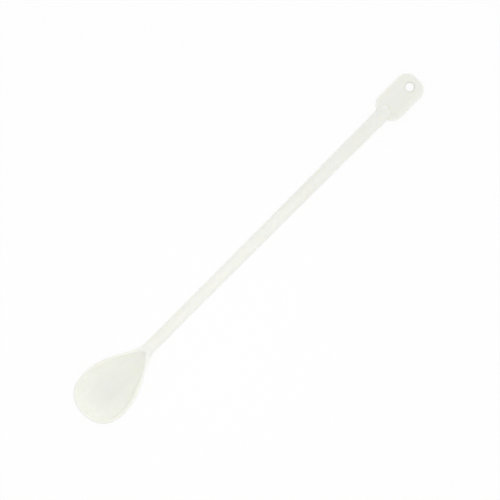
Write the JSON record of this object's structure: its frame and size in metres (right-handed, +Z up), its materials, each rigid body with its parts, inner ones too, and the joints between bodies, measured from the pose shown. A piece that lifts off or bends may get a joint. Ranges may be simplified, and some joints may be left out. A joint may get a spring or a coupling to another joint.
{
  "type": "mixing spoon",
  "caption": "Long-handled moulded plastic mixing spoon: oval scooped bowl, round handle that swells towards its end, and a flat rounded tab with a hanging hole.",
  "frame": {"origin": "on the table under the middle of the spoon's bounding box, as it lies with the hollow up", "axes": "+X along the handle from the bowl to the hanging tab, +Y across the bowl, +Z up from the table"},
  "size_m": [0.4598, 0.0556, 0.0215],
  "materials": {
    "ivory_plastic": "satin as moulded, natural ivory polyethylene, slightly translucent"
  },
  "bodies": {
    "root": {"bowl": "ivory_plastic", "handle": "ivory_plastic", "hang_tab": "ivory_plastic"}
  },
  "joints": []
}
